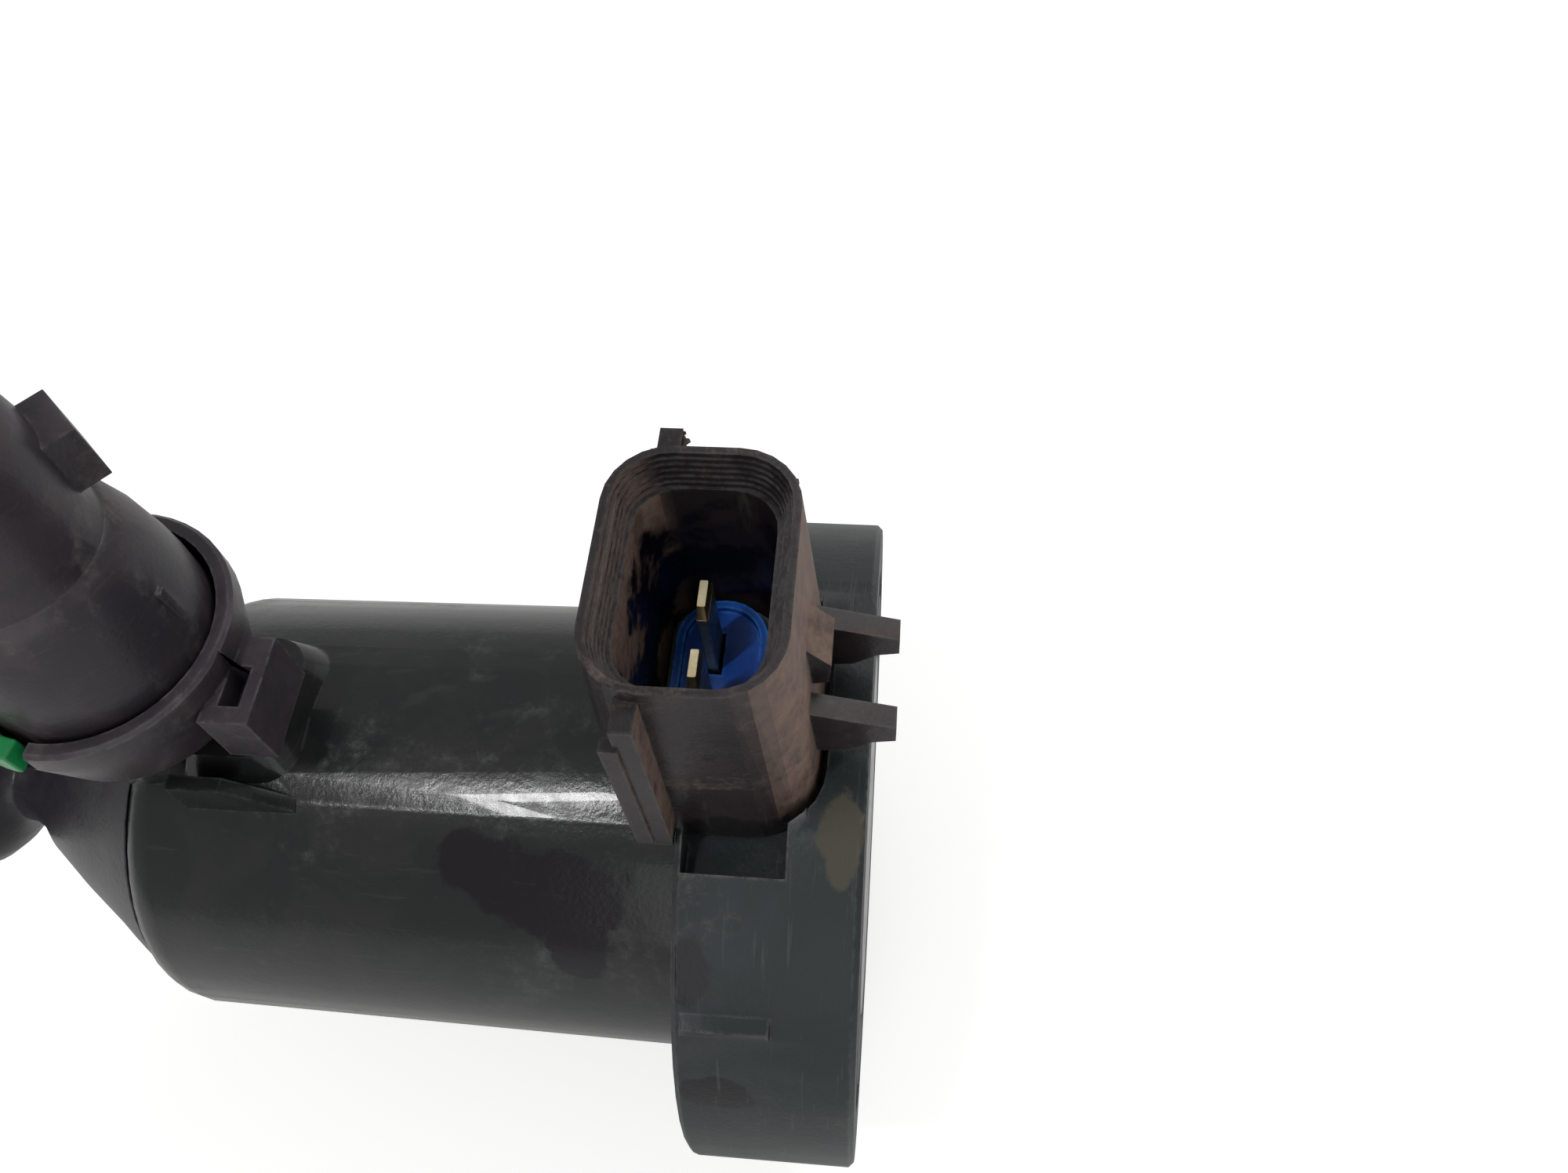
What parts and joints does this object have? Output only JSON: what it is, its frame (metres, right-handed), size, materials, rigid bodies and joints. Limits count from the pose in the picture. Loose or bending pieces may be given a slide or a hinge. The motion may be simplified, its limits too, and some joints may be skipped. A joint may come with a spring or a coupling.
{
  "type": "fuel injector",
  "caption": "Solenoid fuel injector: tapered plastic body, flanged cap, bladed connector, swivelling quick-connect feed port and conical nozzle.",
  "frame": {"origin": "centre of the flange face on the body axis", "axes": "+X out of the flange face along the body axis, so the nozzle points to -X; +Z along the connector and the feed port"},
  "size_m": [0.0857, 0.0524, 0.0777],
  "materials": {
    "shell_plastic": "dark green-grey moulded plastic, oily gloss with dust film",
    "nose_plastic": "purple-black moulded plastic",
    "flange_plastic": "blue-green grey plastic with fine scratches",
    "connector_plastic": "brown-black plastic with tan dust",
    "carrier_plastic": "grey-green plastic",
    "seal_rubber": "bright blue silicone",
    "black_rubber": "matt black",
    "tin_plate": "tin-plated copper alloy with worn corners",
    "port_plastic": "purple-grey plastic, soft sheen",
    "clip_plastic": "green plastic",
    "steel": "machined steel",
    "soft_iron": "phosphated soft iron",
    "copper": "enamelled copper wire",
    "bobbin_plastic": "blue moulded plastic",
    "filter_mesh": "fine woven nylon"
  },
  "bodies": {
    "housing": {"body_shell": "shell_plastic", "nose_housing": "nose_plastic", "valve_seat": "steel", "spray_plate": "steel", "seat_oring": "black_rubber", "needle_guide": "steel", "pole_core": "soft_iron", "return_spring": "steel", "spring_adjuster": "steel", "coil_bobbin": "bobbin_plastic", "coil_winding": "copper", "magnetic_yoke": "soft_iron", "yoke_plate_left": "soft_iron", "yoke_plate_right": "soft_iron", "flange_cap": "flange_plastic", "face_seal": "black_rubber", "end_plate": "steel", "cover_screw_1": "soft_iron", "cover_screw_2": "soft_iron", "cover_screw_3": "soft_iron", "shell_oring": "black_rubber", "connector_shroud": "connector_plastic", "terminal_carrier": "carrier_plastic", "terminal_seal": "seal_rubber", "terminal_blade_1": "tin_plate", "terminal_blade_2": "tin_plate", "port_coupling": "port_plastic"},
    "needle": {"valve_needle": "steel", "armature": "soft_iron"},
    "port": {"port_tube": "port_plastic", "port_oring": "black_rubber", "inlet_filter": "filter_mesh"},
    "clip": {"lock_clip": "clip_plastic"}
  },
  "joints": [
    {"name": "needle_lift", "type": "slide", "parent": "housing", "child": "needle", "axis": [1, 0, 0], "range_m": [0, 0.0006], "stiffness_N_per_m": 1500, "springref_m": -0.002, "deforming": ["return_spring"]},
    {"name": "port_swivel", "type": "hinge", "parent": "housing", "child": "port", "pos_m": [-0.0545, 0.0006, 0.03], "axis": [0, 0, 1], "range_deg": [-20, 20]},
    {"name": "clip_pull", "type": "slide", "parent": "housing", "child": "clip", "axis": [-0.7771, -0.6293, 0], "range_m": [0, 0.0015]}
  ]
}
